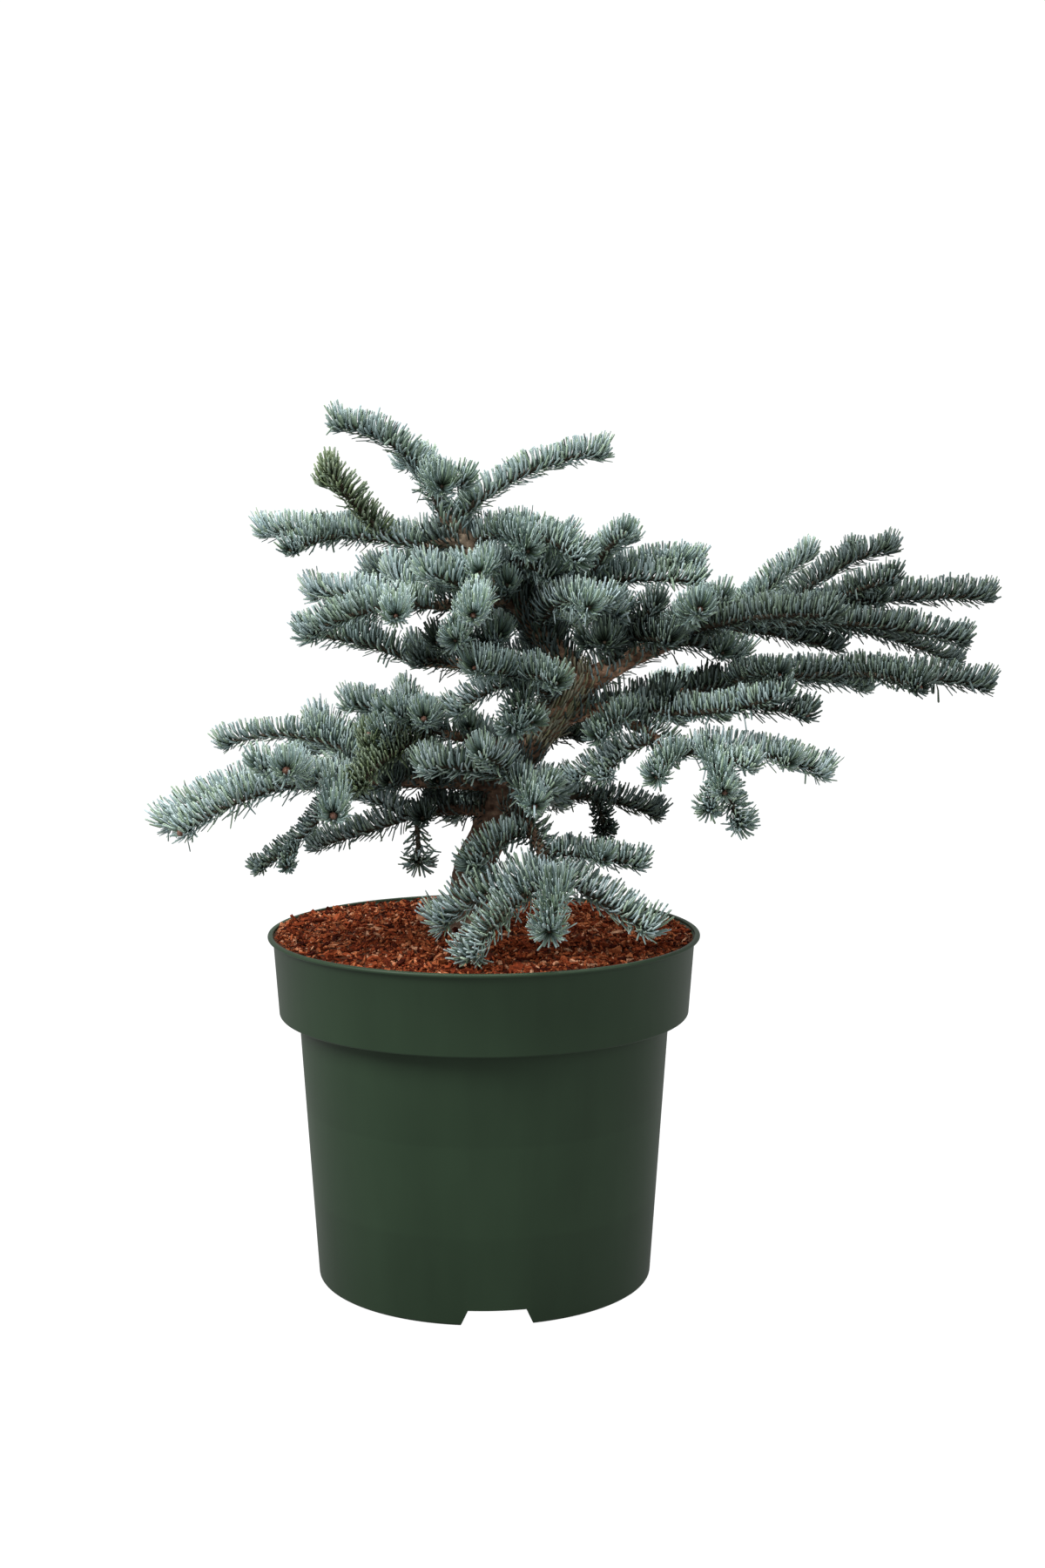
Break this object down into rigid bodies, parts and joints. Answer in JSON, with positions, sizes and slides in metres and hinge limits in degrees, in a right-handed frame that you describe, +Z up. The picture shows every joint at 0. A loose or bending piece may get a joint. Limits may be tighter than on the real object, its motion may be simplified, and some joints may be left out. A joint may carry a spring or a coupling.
{
  "type": "potted noble fir",
  "caption": "Potted prostrate noble fir: round nursery pot full of growing mix, a leaning trunk with boughs, and blue-green masses of needled shoots that spread wide to one side.",
  "frame": {"origin": "centre of the pot's flat underside", "axes": "+X to the right of the front view, +Y away from the viewer, +Z up along the pot's axis"},
  "size_m": [0.517, 0.3036, 0.5579],
  "materials": {
    "plastic": "semi-matt injection-moulded dark green plastic",
    "mix": "rough damp bark chips",
    "bark": "matt grey-brown young bark",
    "needles": "waxy glaucous blue-green needles"
  },
  "bodies": {
    "root": {"pot": "plastic", "growing_mix": "mix", "trunk": "bark", "right_limb": "bark", "right_lower_bough": "bark", "right_hanging_bough": "bark", "left_upper_bough": "bark", "left_shelf_bough": "bark", "left_middle_bough": "bark", "left_mid_bough": "bark", "left_lower_bough": "bark", "left_second_bough": "bark", "low_front_bough": "bark", "low_right_bough": "bark", "front_centre_bough": "bark", "leader_right_bough": "bark", "back_left_bough": "bark", "back_right_bough": "bark", "back_top_bough": "bark", "back_limb_bough": "bark", "back_low_bough": "bark", "top_left_foliage": "needles", "top_right_foliage": "needles", "upper_left_foliage": "needles", "upper_front_foliage": "needles", "leader_foliage": "needles", "right_of_leader_foliage": "needles", "centre_fan_foliage": "needles", "left_shelf_foliage": "needles", "left_inner_foliage": "needles", "left_under_foliage": "needles", "left_under_inner_foliage": "needles", "right_tip_foliage": "needles", "right_back_fan_foliage": "needles", "right_inner_fan_foliage": "needles", "right_lower_tip_foliage": "needles", "right_front_foliage": "needles", "limb_inner_foliage": "needles", "lower_tip_foliage": "needles", "lower_middle_foliage": "needles", "comb_foliage": "needles", "hanging_foliage": "needles", "low_right_foliage": "needles", "front_centre_foliage": "needles", "centre_upper_foliage": "needles", "left_low_back_foliage": "needles", "left_low_end_foliage": "needles", "left_second_foliage": "needles", "left_mid_foliage": "needles", "front_left_foliage": "needles", "front_right_foliage": "needles", "front_low_foliage": "needles", "back_left_foliage": "needles", "back_right_foliage": "needles", "back_top_foliage": "needles", "back_limb_foliage": "needles", "back_low_foliage": "needles", "back_middle_foliage": "needles", "back_upper_foliage": "needles", "back_shelf_foliage": "needles"}
  },
  "joints": []
}
